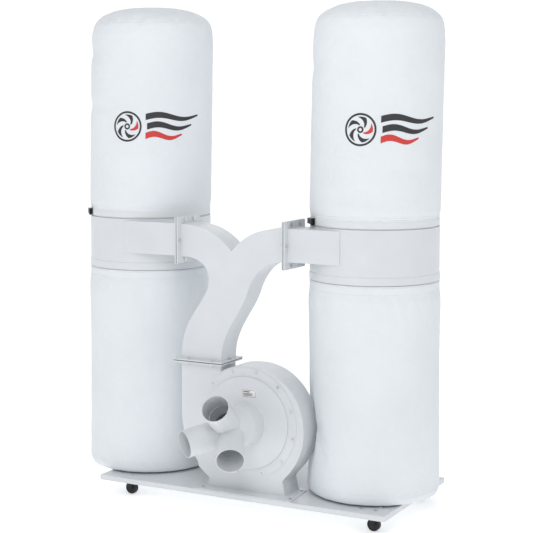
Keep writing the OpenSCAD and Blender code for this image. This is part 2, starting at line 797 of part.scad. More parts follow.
module adapter_bolt_places()
  for (sx = [-1, 1], sz = [-1, 1])
    translate([blower_x + sx * 85, blower_back, motor_z + sz * 85]) rotate([90, 0, 0])
      children();

module motor_adapter() color(coat) placed() difference() {
  translate([blower_x - 105, blower_back, motor_z - 105]) cube([210, adapter_t, 210]);
  along_y(blower_x, motor_z, blower_back - 1, blower_back + adapter_t + 1, 20);
  adapter_bolt_places() cylinder(h = 60, r = bolt_hole_r, center = true);
}

module adapter_bolts() color(zinc) placed() adapter_bolt_places()
  translate([0, 0, -adapter_t]) mirror([0, 0, 1]) bolt(adapter_t + plate_t);

// Drum-shaped end bell: y0 is its outer face, dir points to the stator
module end_bell(y0, dir) color(coat) placed()
  translate([blower_x, y0, motor_z]) rotate([-dir * 90, 0, 0]) rotate_extrude()
    polygon([[14, 0], [motor_r - 6, 0], [motor_r - 2, 4], [motor_r - 2, bell_t],
             [motor_core_r, bell_t], [motor_core_r, 20], [bearing_r + 0.03, 20],
             [bearing_r + 0.03, 5], [14, 5]]);

module motor_front_bell() end_bell(bell_y0, 1);
module motor_rear_bell() end_bell(rear_bell_y1, -1);

module motor_frame() color(coat) placed() difference() {
  union() {
    along_y(blower_x, motor_z, frame_y0, frame_y1, motor_r - 6);
    for (i = [0:35])
      translate([blower_x, frame_y0 + 6, motor_z]) rotate([0, i * 10, 0])
        translate([-1, 0, motor_core_r + 2]) cube([2, frame_l - 12, motor_r - motor_core_r - 2]);
  }
  along_y(blower_x, motor_z, frame_y0 - 1, frame_y1 + 1, motor_core_r);
}

module stator() color(steel) placed() {
  tube_y(blower_x, motor_z, frame_y0 + 34, frame_y1 - 30, motor_core_r - 0.05, stator_r + air_gap);
  tube_y(blower_x, motor_z, frame_y0 + 12, frame_y0 + 34, 66, 50);
  tube_y(blower_x, motor_z, frame_y1 - 30, frame_y1 - 8, 66, 50);
}

module motor_bearings() color(steel) placed() {
  tube_y(blower_x, motor_z, bell_y0 + 5, bell_y0 + 5 + bearing_w, bearing_r, shaft_r + 0.03);
  tube_y(blower_x, motor_z, rear_bell_y1 - 5 - bearing_w, rear_bell_y1 - 5, bearing_r,
         shaft_r + 0.03);
}

module fan_cover() color(black) placed() difference() {
  translate([blower_x, fan_cover_y1, motor_z]) rotate([90, 0, 0]) rotate_extrude()
    polygon([[12, 0], [motor_r - 4, 0], [motor_r, 4], [motor_r, 62], [motor_r - 1.5, 62],
             [motor_r - 1.5, 4.5], [motor_r - 4.5, 1.5], [12, 1.5]]);
  for (ring = [0:2], i = [0:11 + 4 * ring])
    rotate_about_motor(i * 360 / (12 + 4 * ring))
      along_y(0, 30 + ring * 16, fan_cover_y1 - 4, fan_cover_y1 + 2, 4);
}

module rotate_about_motor(a)
  translate([blower_x, 0, motor_z]) rotate([0, a, 0]) children();

module cooling_fan() color(black) placed() {
  y0 = rear_bell_y1 + 8;
  tube_y(blower_x, motor_z, y0, y0 + 24, 26, shaft_r + key_gap);
  for (i = [0:7]) rotate_about_motor(i * 45) translate([-1.5, y0, 20]) cube([3, 24, 50]);
  tube_y(blower_x, motor_z, y0, y0 + 2, 70, 20);
}

// Rotor core pressed on the shaft, which runs from the impeller to the cooling fan
module rotor() color(steel) placed() {
  along_y(blower_x, motor_z, impeller_back - impeller_w + 6, rear_bell_y1 + 33, shaft_r);
  along_y(blower_x, motor_z, frame_y0 + 34, frame_y1 - 30, stator_r);
}

// Open radial impeller: back plate, hub and eight blades
module impeller() color(steel) placed() {
  difference() {
    union() {
      along_y(blower_x, blower_z, impeller_back - 4, impeller_back, impeller_r);
      along_y(blower_x, blower_z, impeller_back - impeller_w + 8, impeller_back - 3, 30);
      for (i = [0:7]) rotate_about_motor(i * 45)
        translate([-1.5, impeller_back - impeller_w, 26])
          cube([3, impeller_w - 2, impeller_r - 28]);
    }
    along_y(blower_x, blower_z, impeller_back - impeller_w - 1, impeller_back + 1,
            shaft_r + key_gap);
  }
}

module impeller_bolt() color(zinc) placed()
  translate([blower_x, impeller_back - impeller_w + 6, blower_z]) rotate([90, 0, 0]) {
    cylinder(h = 3, r = 22);
    translate([0, 0, 3]) cylinder(h = 8, r = 10, $fn = 6);
  }

// ---------------------------------------------------------------- switch box

// The box is drawn on top of the motor and turned to its left side
module beside_motor() placed() translate([blower_x, 0, motor_z]) rotate([0, -90, 0])
  translate([-blower_x, 0, -motor_z]) children();

start_x = blower_x - 24;
stop_x = blower_x + 24;
box_x0 = blower_x - switch_l / 2;
lid_t = 3;
box_top = switch_z + switch_h;

module switch_box() color(black) beside_motor() difference() {
  union() {
    translate([box_x0, switch_y, switch_z]) cube([switch_l, switch_w, switch_h]);
    translate([blower_x - 30, switch_y + 10, motor_z + motor_r - 8])
      cube([60, switch_w - 20, 12]);
  }
  translate([box_x0 + lid_t, switch_y + lid_t, switch_z + lid_t])
    cube([switch_l - 2 * lid_t, switch_w - 2 * lid_t, switch_h - 2 * lid_t]);
  along_y(blower_x, motor_z, switch_y - 5, switch_y + switch_w + 5, motor_r + 0.05);
  for (x = [start_x, stop_x])
    translate([x, switch_y + switch_w / 2, box_top - lid_t - 1])
      cylinder(h = lid_t + 2, r = button_r + button_gap);
  translate([box_x0 + 20, switch_y + switch_w - lid_t - 1, switch_z + switch_h / 2])
    rotate([-90, 0, 0]) cylinder(h = lid_t + 2, r = 8);
}

// Push button with a flange that keeps it inside the box
module button(x, out) beside_motor()
  translate([x, switch_y + switch_w / 2, box_top - lid_t - 2.1]) {
    cylinder(h = 2, r = button_r + 3);
    cylinder(h = 2 + lid_t + out, r = button_r);
  }

module start_button() color("green") button(start_x, 5);
module stop_button() color("red") button(stop_x, 7);

module cable_gland() color(black) beside_motor()
  translate([box_x0 + 20, switch_y + switch_w, switch_z + switch_h / 2]) rotate([-90, 0, 0])
    difference() {
      union() {
        translate([0, 0, -lid_t - 4]) cylinder(h = lid_t + 5, r = 7.9);
        translate([0, 0, -lid_t - 6]) cylinder(h = 6, r = 11, $fn = 6);
        cylinder(h = 8, r = 11, $fn = 6);
        translate([0, 0, 8]) cylinder(h = 10, r = 9);
      }
      translate([0, 0, -20]) cylinder(h = 60, r = gland_bore_r);
    }

// ---------------------------------------------------------------- the machine
base_plate();
caster_plates();
caster_fork_fl();
caster_fork_fr();
caster_fork_bl();
caster_fork_br();
caster_wheel_fl();
caster_wheel_fr();
caster_wheel_bl();
caster_wheel_br();
base_bolts();
foot_plate();
pedestal_sides();
blower_front_panel();
blower_back_panel();
scroll_wall();
outlet_flange();
inlet_cover();
cover_bolts();
inlet_collar();
inlet_ports();
data_label();
y_duct_front();
y_duct_back();
y_duct_left_wall();
y_duct_right_wall();
y_duct_crotch_wall();
y_duct_flanges();
flange_gaskets();
flange_bolts();
left_drum();
right_drum();
left_drum_duct();
right_drum_duct();
bag_straps();
snap_bands();
buckle_frames();
left_clamp_lever();
right_clamp_lever();
left_filter_bag();
right_filter_bag();
left_collection_bag();
right_collection_bag();
rear_posts();
motor_adapter();
adapter_bolts();
motor_front_bell();
motor_frame();
stator();
motor_rear_bell();
fan_cover();
cooling_fan();
rotor();
motor_bearings();
impeller();
impeller_bolt();
switch_box();
start_button();
stop_button();
cable_gland();
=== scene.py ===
import json
import math
import random

import bmesh
import bpy
from mathutils import Matrix, Vector
from mathutils.bvhtree import BVHTree


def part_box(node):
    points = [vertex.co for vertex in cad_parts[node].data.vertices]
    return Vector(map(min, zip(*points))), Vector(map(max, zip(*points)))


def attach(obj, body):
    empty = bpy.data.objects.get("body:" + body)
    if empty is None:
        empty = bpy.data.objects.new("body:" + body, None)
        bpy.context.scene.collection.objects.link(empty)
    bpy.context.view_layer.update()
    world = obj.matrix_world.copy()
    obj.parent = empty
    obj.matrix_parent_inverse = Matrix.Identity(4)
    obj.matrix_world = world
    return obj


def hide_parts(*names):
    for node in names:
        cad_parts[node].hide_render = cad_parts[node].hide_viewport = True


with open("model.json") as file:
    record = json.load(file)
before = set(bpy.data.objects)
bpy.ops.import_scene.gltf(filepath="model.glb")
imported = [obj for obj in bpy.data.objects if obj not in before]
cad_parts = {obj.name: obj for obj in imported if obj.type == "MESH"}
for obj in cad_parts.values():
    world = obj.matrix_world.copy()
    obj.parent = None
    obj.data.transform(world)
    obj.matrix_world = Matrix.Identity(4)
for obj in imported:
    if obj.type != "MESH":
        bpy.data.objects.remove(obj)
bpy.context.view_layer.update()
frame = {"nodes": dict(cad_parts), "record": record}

# Looks of the twin-bag dust collector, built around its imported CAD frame. Metres, +Z up.

NODES = frame["nodes"]
RNG = random.Random(7)
TAU = 2 * math.pi

# ------------------------------------------------------------------ camera and light

CAMERA_AT = Vector((2.737, -4.993, 1.644))
CAMERA_YAW = 28.21
CAMERA_PITCH = 4.82
CAMERA_LENS = 97.8
CAMERA_SHIFT = (0.02, -0.10)


def add_camera():
    data = bpy.data.cameras.new("camera")
    data.lens = CAMERA_LENS
    data.sensor_width = 36
    data.shift_x, data.shift_y = CAMERA_SHIFT
    data.clip_end = 60
    camera = bpy.data.objects.new("camera", data)
    camera.location = CAMERA_AT
    camera.rotation_euler = (math.radians(90 - CAMERA_PITCH), 0, math.radians(CAMERA_YAW))
    bpy.context.scene.collection.objects.link(camera)
    bpy.context.scene.camera = camera


def add_area_light(name, at, target, size, power, colour=(1, 1, 1)):
    data = bpy.data.lights.new(name, "AREA")
    data.shape = "RECTANGLE"
    data.size, data.size_y = size
    data.energy = power
    data.color = colour
    light = bpy.data.objects.new(name, data)
    light.location = at
    light.rotation_euler = (Vector(target) - Vector(at)).to_track_quat("-Z", "Y").to_euler()
    bpy.context.scene.collection.objects.link(light)


def add_lights():
    middle = (0, 0, 1.0)
    add_area_light("key", (2.2, -5.2, 4.2), middle, (2.6, 2.6), 84)
    add_area_light("fill_left", (-5.0, -2.6, 2.6), middle, (3.0, 3.0), 8)
    add_area_light("rim_right", (4.6, 1.8, 3.2), middle, (1.6, 3.0), 10)
    add_area_light("back", (-2.5, 5.0, 3.6), middle, (3.0, 2.5), 8)
    add_area_light("above", (0.6, -2.4, 5.2), (0, 0, 1.2), (3.2, 3.2), 34)
    world = bpy.data.worlds.new("studio")
    world.use_nodes = True
    background = world.node_tree.nodes["Background"]
    background.inputs["Color"].default_value = (0.96, 0.97, 1.0, 1)
    background.inputs["Strength"].default_value = 0.49
    bpy.context.scene.world = world
    bpy.context.scene.view_settings.view_transform = "Standard"


def add_floor(material):
    """A wide pale floor that turns up smoothly into a backdrop behind the machine."""
    depth_front, depth_back, width, height, bend = 40.0, 9.0, 70.0, 12.0, 4.0
    profile = [(-depth_front, 0.0), (depth_back - bend, 0.0)]
    for i in range(1, 13):
        a = i / 12 * math.pi / 2
        profile.append((depth_back - bend + bend * math.sin(a), bend - bend * math.cos(a)))
    profile.append((depth_back, height))
    turn = Matrix.Rotation(math.radians(CAMERA_YAW), 4, "Z")
    mesh = bpy.data.meshes.new("floor")
    vertices = [turn @ Vector((x, y, z)) for y, z in profile for x in (-width / 2, width / 2)]
    faces = [(2 * i, 2 * i + 1, 2 * i + 3, 2 * i + 2) for i in range(len(profile) - 1)]
    mesh.from_pydata(vertices, [], faces)
    mesh.polygons.foreach_set("use_smooth", [True] * len(faces))
    floor = bpy.data.objects.new("floor", mesh)
    bpy.context.scene.collection.objects.link(floor)
    mesh.materials.append(material)


# ------------------------------------------------------------------ materials


class Paint:
    """A Principled material whose colour, roughness and bump come from procedural nodes."""

    def __init__(self, name, roughness, metallic=0.0, **sockets):
        self.material = bpy.data.materials.new(name)
        self.material.use_nodes = True
        self.tree = self.material.node_tree
        self.shader = self.tree.nodes["Principled BSDF"]
        self.shader.inputs["Metallic"].default_value = metallic
        self.shader.inputs["Roughness"].default_value = roughness
        for key, value in sockets.items():
            self.shader.inputs[key.replace("_", " ")].default_value = value
        self.height = None
        self.coordinates = self.node("ShaderNodeTexCoord").outputs["Object"]

    def node(self, kind, **settings):
        node = self.tree.nodes.new(kind)
        for key, value in settings.items():
            setattr(node, key, value)
        return node

    def link(self, a, b):
        self.tree.links.new(a, b)

    def stretched(self, scale):
        mapping = self.node("ShaderNodeMapping")
        mapping.inputs["Scale"].default_value = scale
        self.link(self.coordinates, mapping.inputs["Vector"])
        return mapping.outputs["Vector"]

    def noise(self, scale, detail=3.0, rough=0.5, stretch=None):
        node = self.node("ShaderNodeTexNoise")
        node.inputs["Scale"].default_value = scale
        node.inputs["Detail"].default_value = detail
        node.inputs["Roughness"].default_value = rough
        self.link(self.stretched(stretch) if stretch else self.coordinates, node.inputs["Vector"])
        return node.outputs["Fac"]

    def ramp(self, value, stops):
        node = self.node("ShaderNodeValToRGB")
        while len(node.color_ramp.elements) < len(stops):
            node.color_ramp.elements.new(0.5)
        for element, (place, colour) in zip(node.color_ramp.elements, stops):
            element.position = place
            element.color = (*colour, 1)
        self.link(value, node.inputs["Fac"])
        return node.outputs["Color"]

    def ranged(self, value, low, high, from_low=0.3, from_high=0.7):
        node = self.node("ShaderNodeMapRange")
        node.inputs["From Min"].default_value = from_low
        node.inputs["From Max"].default_value = from_high
        node.inputs["To Min"].default_value = low
        node.inputs["To Max"].default_value = high
        self.link(value, node.inputs["Value"])
        return node.outputs["Result"]

    def colour(self, value, stops):
        self.link(self.ramp(value, stops), self.shader.inputs["Base Color"])
        return self

    def rough(self, value, low, high):
        self.link(self.ranged(value, low, high), self.shader.inputs["Roughness"])
        return self

    def bump(self, value, strength, distance):
        node = self.node("ShaderNodeBump")
        node.inputs["Strength"].default_value = strength
        node.inputs["Distance"].default_value = distance
        self.link(value, node.inputs["Height"])
        if self.height is not None:
            self.link(self.height, node.inputs["Normal"])
        self.height = node.outputs["Normal"]
        self.link(self.height, self.shader.inputs["Normal"])
        return self


def shade(colour, factor):
    return tuple(min(1.0, c * factor) for c in colour)


def powder_coat(name, colour, roughness=0.36):
    """Satin powder coat: orange peel, faint cloudiness and slow waves in the sheet."""
    paint = Paint(name, roughness, Specular_IOR_Level=0.35)
    clouds = paint.noise(7, 4)
    paint.colour(clouds, [(0.3, shade(colour, 0.965)), (0.7, shade(colour, 1.02))])
    paint.rough(paint.noise(45, 4), roughness - 0.05, roughness + 0.08)
    paint.bump(paint.noise(5.5, 2), 0.25, 0.004)
    paint.bump(paint.noise(620, 2), 0.12, 0.0004)
    return paint.material


def felt_cloth(name, colour):
    """Needled filter felt: matte fibres, a soft nap and slight unevenness."""
    paint = Paint(name, 0.9, Sheen_Weight=0.06, Sheen_Roughness=0.5)
    paint.colour(paint.noise(3.2, 5, 0.6), [(0.3, shade(colour, 0.955)), (0.72, shade(colour, 1.02))])
    paint.rough(paint.noise(60, 3), 0.82, 0.95)
    paint.bump(paint.noise(11, 3, 0.55), 0.22, 0.006)
    paint.bump(paint.noise(260, 5, 0.7, (1, 1, 0.55)), 0.35, 0.0008)
    paint.bump(paint.noise(1100, 3, 0.7, (1, 1, 0.3)), 0.3, 0.0003)
    return paint.material


def webbing(name, colour):
    """Woven strap: fine ribs across its width and darker gaps between them."""
    paint = Paint(name, 0.75, Sheen_Weight=0.2)
    ribs = paint.node("ShaderNodeTexWave", wave_type="BANDS", bands_direction="Z")
    ribs.inputs["Scale"].default_value = 130
    ribs.inputs["Distortion"].default_value = 1.2
    paint.link(paint.coordinates, ribs.inputs["Vector"])
    paint.colour(ribs.outputs["Fac"], [(0.0, shade(colour, 0.86)), (0.6, colour)])
    paint.bump(ribs.outputs["Fac"], 0.4, 0.0006)
    paint.bump(paint.noise(900, 3), 0.3, 0.0003)
    return paint.material


def bare_metal(name, colour, roughness, stretch=(1, 1, 1)):
    paint = Paint(name, roughness, metallic=1.0)
    streaks = paint.noise(220, 4, 0.6, stretch)
    paint.colour(streaks, [(0.3, shade(colour, 0.86)), (0.7, shade(colour, 1.05))])
    paint.rough(streaks, roughness - 0.07, roughness + 0.12)
    paint.bump(streaks, 0.12, 0.0003)
    return paint.material


def moulded(name, colour, roughness, grain=520):
    """Moulded plastic or rubber with a fine grain and slightly uneven gloss."""
    paint = Paint(name, roughness)
    paint.colour(paint.noise(25, 4), [(0.3, shade(colour, 0.8)), (0.7, shade(colour, 1.2))])
    paint.rough(paint.noise(80, 3), roughness - 0.08, roughness + 0.1)
    paint.bump(paint.noise(grain, 3), 0.25, 0.0004)
    return paint.material


def printed(name, colour):
    """Ink on cloth: matte, a little thin where the fibres stand up."""
    paint = Paint(name, 0.62)
    wear = paint.noise(420, 5, 0.7)
    paint.colour(wear, [(0.25, shade(colour, 1.0)), (0.8, tuple(c + 0.03 for c in colour))])
    paint.bump(paint.noise(260, 5, 0.7), 0.3, 0.0006)
    return paint.material


def floor_paint():
    paint = Paint("floor", 0.9, Emission_Strength=0.42)
    paint.colour(paint.noise(0.7, 2), [(0.3, (0.93, 0.935, 0.94)), (0.7, (0.95, 0.955, 0.96))])
    return paint.material


COAT = (0.72, 0.745, 0.765)
MATERIALS = {
    "coated_steel": powder_coat("coated_steel", COAT),
    "bag_cloth": felt_cloth("bag_cloth", (0.80, 0.835, 0.86)),
    "strap_webbing": webbing("strap_webbing", (0.80, 0.82, 0.83)),
    "zinc_plate": bare_metal("zinc_plate", (0.72, 0.73, 0.75), 0.3),
    "caster_steel": powder_coat("caster_steel", (0.02, 0.02, 0.022), 0.32),
    "caster_rubber": moulded("caster_rubber", (0.018, 0.018, 0.019), 0.6),
    "gasket_rubber": moulded("gasket_rubber", (0.04, 0.04, 0.042), 0.8, 300),
    "motor_alloy": powder_coat("motor_alloy", (0.34, 0.37, 0.40), 0.42),
    "machined_steel": bare_metal("machined_steel", (0.56, 0.57, 0.59), 0.34, (1, 0.05, 1)),
    "black_plastic": moulded("black_plastic", (0.022, 0.022, 0.024), 0.45),
    "buckle_black": powder_coat("buckle_black", (0.014, 0.014, 0.015), 0.3),
    "label_film": moulded("label_film", (0.84, 0.85, 0.84), 0.3, 900),
    "green_plastic": moulded("green_plastic", (0.02, 0.25, 0.07), 0.3),
    "red_plastic": moulded("red_plastic", (0.55, 0.02, 0.015), 0.3),
}
INK_DARK = printed("ink_dark", (0.02, 0.02, 0.022))
INK_ACCENT = printed("ink_accent", (0.62, 0.035, 0.03))
THREAD = moulded("thread", (0.78, 0.81, 0.83), 0.8, 900)

# Edge radius that the folded and machined edges of a material are given, in metres
EDGE = {"coated_steel": 0.0009, "zinc_plate": 0.0007, "caster_steel": 0.0008,
        "motor_alloy": 0.0015, "black_plastic": 0.0012, "buckle_black": 0.0007,
        "caster_rubber": 0.0012}


def dress_cad_nodes():
    """Each CAD node gets its slot's material, and a fine bevel on its hard edges."""
    slots = {s["node"]: s["material_slot"] for s in frame["record"]["subparts"]}
    for name, node in NODES.items():
        slot = slots[name]
        node.data.materials.clear()
        node.data.materials.append(MATERIALS[slot])
        if slot in EDGE:
            bevel = node.modifiers.new("edges", "BEVEL")
            bevel.width = EDGE[slot]
            bevel.segments = 2
            bevel.limit_method = "ANGLE"
            bevel.angle_limit = math.radians(50)
            bevel.harden_normals = False


# ------------------------------------------------------------------ bags: cut and simulation

COLUMNS = 144
CLOTH_STEP = 0.0112
CLOTH_T = 0.0018
SETTLE_FRAMES = 26
HELD_H = 0.036
UNEVEN = 0.0012
PLATE_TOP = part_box("base_plate")[1][2]
# How far a filter bag's top leans to the right, and how late along its height it does so
LEAN, LEAN_CURVE = 0.016, 1.25
# How much wider than its place a bag is cut beside its end seam, and how far from the seam
FULLNESS = {"filter": 0.006, "collection": 0.017}
FULL_REACH = 0.050
# The fullness by the mouth: how much, how far from the mouth, and over what height
GATHER, GATHER_AT, GATHER_REACH = 0.018, 0.075, 0.045
# Pressure inside a bag, and the share of gravity that acts on it
PRESSURE = {"filter": 1.2, "collection": 0.7}
WEIGHT = {"filter": 0.0, "collection": 0.35}

# Outlines from the mouth to the closed end, as radius and height
FILTER_OUTLINE = [(0.2472, 1.134), (0.2472, 1.168), (0.2520, 1.192), (0.2515, 1.820),
                  (0.2490, 1.875), (0.2420, 1.912), (0.2290, 1.937), (0.2060, 1.954),
                  (0.1600, 1.966), (0.0900, 1.973), (0.0, 1.976)]
COLLECTION_OUTLINE = [(0.2506, 0.922), (0.2506, 0.884), (0.2575, 0.862), (0.2545, 0.765),
                      (0.2530, 0.600), (0.2560, 0.300), (0.2580, 0.145), (0.2570, 0.112),
                      (0.2500, 0.0950), (0.2330, 0.0885), (0.0, 0.0880)]
FILTER_SEAM, COLLECTION_SEAM = (0.2290, 1.937), (0.2550, 0.104)


def axis_of(side):
    low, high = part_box(f"{side}_filter_bag")
    return Vector(((low[0] + high[0]) / 2, (low[1] + high[1]) / 2, 0))


def evenly(outline, step):
    """The outline's points, resampled at about one step."""
    points = [outline[0]]
    for (r0, z0), (r1, z1) in zip(outline[:-1], outline[1:]):
        parts = max(1, round(math.hypot(r1 - r0, z1 - z0) / step))
        points += [(r0 + (r1 - r0) * i / parts, z0 + (z1 - z0) * i / parts)
                   for i in range(1, parts + 1)]
    return points


def nearest_row(rows, place):
    return min(range(len(rows)), key=lambda i: math.dist(rows[i], place))


def bell(x, width):
    return math.exp(-(x / width) ** 2)


def cut_factor(row, rows, seam, fullness):
    """How much wider than its place the cloth is cut, row by row: full by the mouth and on
    both sides of the end seam, and drawn in along the seam's own thread."""
    from_mouth = abs(rows[row][1] - rows[0][1])
    gather = GATHER * bell(from_mouth - GATHER_AT, GATHER_REACH)
    beside = fullness * bell((row - seam) * CLOTH_STEP, FULL_REACH)
    drawn = 2 * fullness if row == seam else 0.0
    return 1 + gather + beside - drawn


def columns_at(radius):
    """Fewer columns towards the middle of the end disc, and one vertex at its centre."""
    if radius < 0.004:
        return 1
    return COLUMNS if radius > 0.13 else COLUMNS // 2 if radius > 0.065 else COLUMNS // 4


def faces_between(first, count, after, fewer):
    """Faces from a ring of count vertices to the next ring, which has as many, half or one."""
    for j in range(count):
        k = (j + 1) % count
        if fewer == count:
            yield (first + j, first + k, after + k, after + j)
        elif fewer == 1:
            yield (first + j, first + k, after)
        elif j % 2 == 0:
            yield (first + j, first + k, after + j // 2)
        else:
            yield (first + j, first + k, after + (j // 2 + 1) % fewer, after + j // 2)


def ring_mesh(name, centre, rows, factors):
    """A closed-end tube of mostly square faces, one ring of vertices to each row."""
    vertices, faces, starts = [], [], []
    for (radius, z), factor in zip(rows, factors):
        starts.append(len(vertices))
        count = columns_at(radius)
        vertices += [centre + Vector((radius * factor * math.cos(TAU * j / count),
                                      radius * factor * math.sin(TAU * j / count), z))
                     for j in range(count)]
    counts = [columns_at(radius) for radius, _ in rows]
    for i in range(len(rows) - 1):
        faces += faces_between(starts[i], counts[i], starts[i + 1], counts[i + 1])
    if rows[-1][1] < rows[0][1]:
        faces = [face[::-1] for face in faces]
    mesh = bpy.data.meshes.new(name)
    mesh.from_pydata(vertices, [], faces)
    return mesh, starts


def blower_place():
    """The blower's axis, and its front and back faces along Y."""
    low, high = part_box("inlet_cover")
    axis = Vector(((low[0] + high[0]) / 2, 0, (low[2] + high[2]) / 2))
    return axis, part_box("blower_front_panel")[0][1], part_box("blower_back_panel")[1][1]


BLOWER_AXIS, BLOWER_FRONT, BLOWER_BACK = blower_place()
# The scroll's outline, as the bag meets it: radius at the tongue, growth over a turn in degrees,
# and the angles of its foot and its tongue, clockwise from the top
SCROLL_R, SCROLL_GROWTH, SCROLL_TURN = 0.2235, 0.072, 270
SCROLL_FOOT_A, SCROLL_TONGUE_A = 140, 300
SCROLL_GAP = 0.010
SCROLL_EDGE = 0.004
SCROLL_STEPS = 120


def scroll_radius(out):
    """The scroll grows from its tongue at the top, round the right side to its foot."""
    a = math.degrees(math.atan2(out.x, out.z)) % 360
    grown = min(a if a < SCROLL_TONGUE_A else 0, SCROLL_FOOT_A)
    return SCROLL_R + SCROLL_GROWTH * grown / SCROLL_TURN


def pressed_aside(point, gap):
    """The point, or the nearest place outside the blower's scroll if it is inside it."""
    out = Vector((point.x - BLOWER_AXIS.x, 0, point.z - BLOWER_AXIS.z))
    deep_radius = scroll_radius(out) + gap - out.length
    deep_back = BLOWER_BACK + gap - point.y
    if deep_radius <= 0 or deep_back <= 0:
        return point
    if deep_radius < deep_back:
        return point + out.normalized() * deep_radius
    return point + Vector((0, deep_back, 0))


class Bag:
    """One cloth bag: its rows and columns of vertices, its seam, and its finished mesh."""

    def __init__(self, side, kind):
        self.side, self.kind = side, kind
        self.node = f"{side}_{kind}_bag"
        self.centre = axis_of(side)
        outline = FILTER_OUTLINE if kind == "filter" else COLLECTION_OUTLINE
        self.rows = evenly(outline, CLOTH_STEP)
        self.seam = nearest_row(self.rows, FILTER_SEAM if kind == "filter" else COLLECTION_SEAM)
        factors = [1.0] * len(self.rows)
        mesh, self.starts = ring_mesh(f"{self.node}_cloth", self.centre, self.rows, factors)
        self.object = bpy.data.objects.new(f"{self.node}_cloth", mesh)
        bpy.context.scene.collection.objects.link(self.object)
        self.pinned = [i for i, (_, z) in enumerate(self.rows) if abs(z - self.rows[0][1]) < HELD_H]
        self.unsettle()

    def row(self, i):
        """The numbers of the vertices in row i."""
        return range(self.starts[i], self.starts[i] + columns_at(self.rows[i][0]))

    def unsettle(self):
        """Small uneven pushes, so that the folds don't come out regular; and the scroll's dent."""
        for vertex in self.object.data.vertices[self.starts[len(self.pinned)]:]:
            vertex.co += Vector([RNG.uniform(-UNEVEN, UNEVEN) for _ in range(3)])
            if self.node == "right_collection_bag":
                vertex.co = pressed_aside(vertex.co, SCROLL_GAP)

    def cut(self):
        """The cloth's own size, as a shape that the simulation takes its lengths from."""
        factors = [cut_factor(i, self.rows, self.seam, FULLNESS[self.kind])
                   for i in range(len(self.rows))]
        flat, _ = ring_mesh("cut", self.centre, self.rows, factors)
        self.object.shape_key_add(name="start")
        key = self.object.shape_key_add(name="cut")
        for point, vertex in zip(key.data, flat.vertices):
            point.co = vertex.co
        bpy.data.meshes.remove(flat)
        return key


def collider(name, mesh):
    thing = bpy.data.objects.new(name, mesh)
    bpy.context.scene.collection.objects.link(thing)
    thing.modifiers.new("solid", "COLLISION")
    thing.collision.thickness_outer = 0.0015
    thing.collision.cloth_friction = 12
    return thing


def scroll_collider():
    """A closed solid in the scroll's outline, with its edges a little rounded."""
    bm = bmesh.new()
    rings = []
    for y, inset in ((BLOWER_FRONT, SCROLL_EDGE), (BLOWER_FRONT + SCROLL_EDGE, 0.0),
                     (BLOWER_BACK - SCROLL_EDGE, 0.0), (BLOWER_BACK, SCROLL_EDGE)):
        ring = []
        for i in range(SCROLL_STEPS):
            a = TAU * i / SCROLL_STEPS
            out = Vector((math.cos(a), 0, math.sin(a)))
            place = BLOWER_AXIS + out * (scroll_radius(out) - inset)
            place.y = y
            ring.append(bm.verts.new(place))
        rings.append(ring)
    for one, two in zip(rings[:-1], rings[1:]):
        for i in range(SCROLL_STEPS):
            k = (i + 1) % SCROLL_STEPS
            bm.faces.new((one[i], one[k], two[k], two[i]))
    bm.faces.new(rings[0][::-1])
    bm.faces.new(rings[-1])
    bmesh.ops.recalc_face_normals(bm, faces=bm.faces)
    mesh = bpy.data.meshes.new("scroll_solid")
    bm.to_mesh(mesh)
    bm.free()
    return collider("scroll_solid", mesh)


def plate_collider():
    mesh = bpy.data.meshes.new("plate_solid")
    x, y, z = 1.0, 0.6, PLATE_TOP
    mesh.from_pydata([(-x, -y, z), (x, -y, z), (x, y, z), (-x, y, z)], [], [(0, 1, 2, 3)])
    return collider("plate_solid", mesh)


def add_cloth(bag):
    key = bag.cut()
    group = bag.object.vertex_groups.new(name="held")
    group.add([v for i in bag.pinned for v in bag.row(i)], 1.0, "REPLACE")
    modifier = bag.object.modifiers.new("cloth", "CLOTH")
    s = modifier.settings
    s.rest_shape_key = key
    s.vertex_group_mass = "held"
    s.quality = 5
    s.mass = 0.08
    s.tension_stiffness = s.compression_stiffness = 90
    s.shear_stiffness = 30
    s.bending_stiffness = 1.2
    s.tension_damping = s.compression_damping = 15
    s.air_damping = 3
    s.effector_weights.gravity = WEIGHT[bag.kind]
    s.use_pressure = True
    s.uniform_pressure_force = PRESSURE[bag.kind]
    modifier.collision_settings.use_collision = bag.kind == "collection"
    modifier.collision_settings.distance_min = 0.0025
    modifier.collision_settings.collision_quality = 3
    modifier.point_cache.frame_start = 1
    modifier.point_cache.frame_end = SETTLE_FRAMES


def settle(bags):
    """Runs the cloth simulation and leaves each bag's mesh in the shape that it came to."""
    solids = [plate_collider(), scroll_collider()]
    for bag in bags:
        add_cloth(bag)
    scene = bpy.context.scene
    for number in range(1, SETTLE_FRAMES + 1):
        scene.frame_set(number)
    graph = bpy.context.evaluated_depsgraph_get()
    settled = [[v.co.copy() for v in bag.object.evaluated_get(graph).data.vertices] for bag in bags]
    for bag, places in zip(bags, settled):
        bag.object.modifiers.clear()
        bag.object.shape_key_clear()
        bag.object.vertex_groups.clear()
        for vertex, place in zip(bag.object.data.vertices, places):
            vertex.co = place
    for solid in solids:
        bpy.data.objects.remove(solid)
    scene.frame_set(1)


# ------------------------------------------------------------------ bags: form and sewing

SIDE_SEAM_A = math.radians(78)
SEAM_COLUMN = round(SIDE_SEAM_A / TAU * COLUMNS)
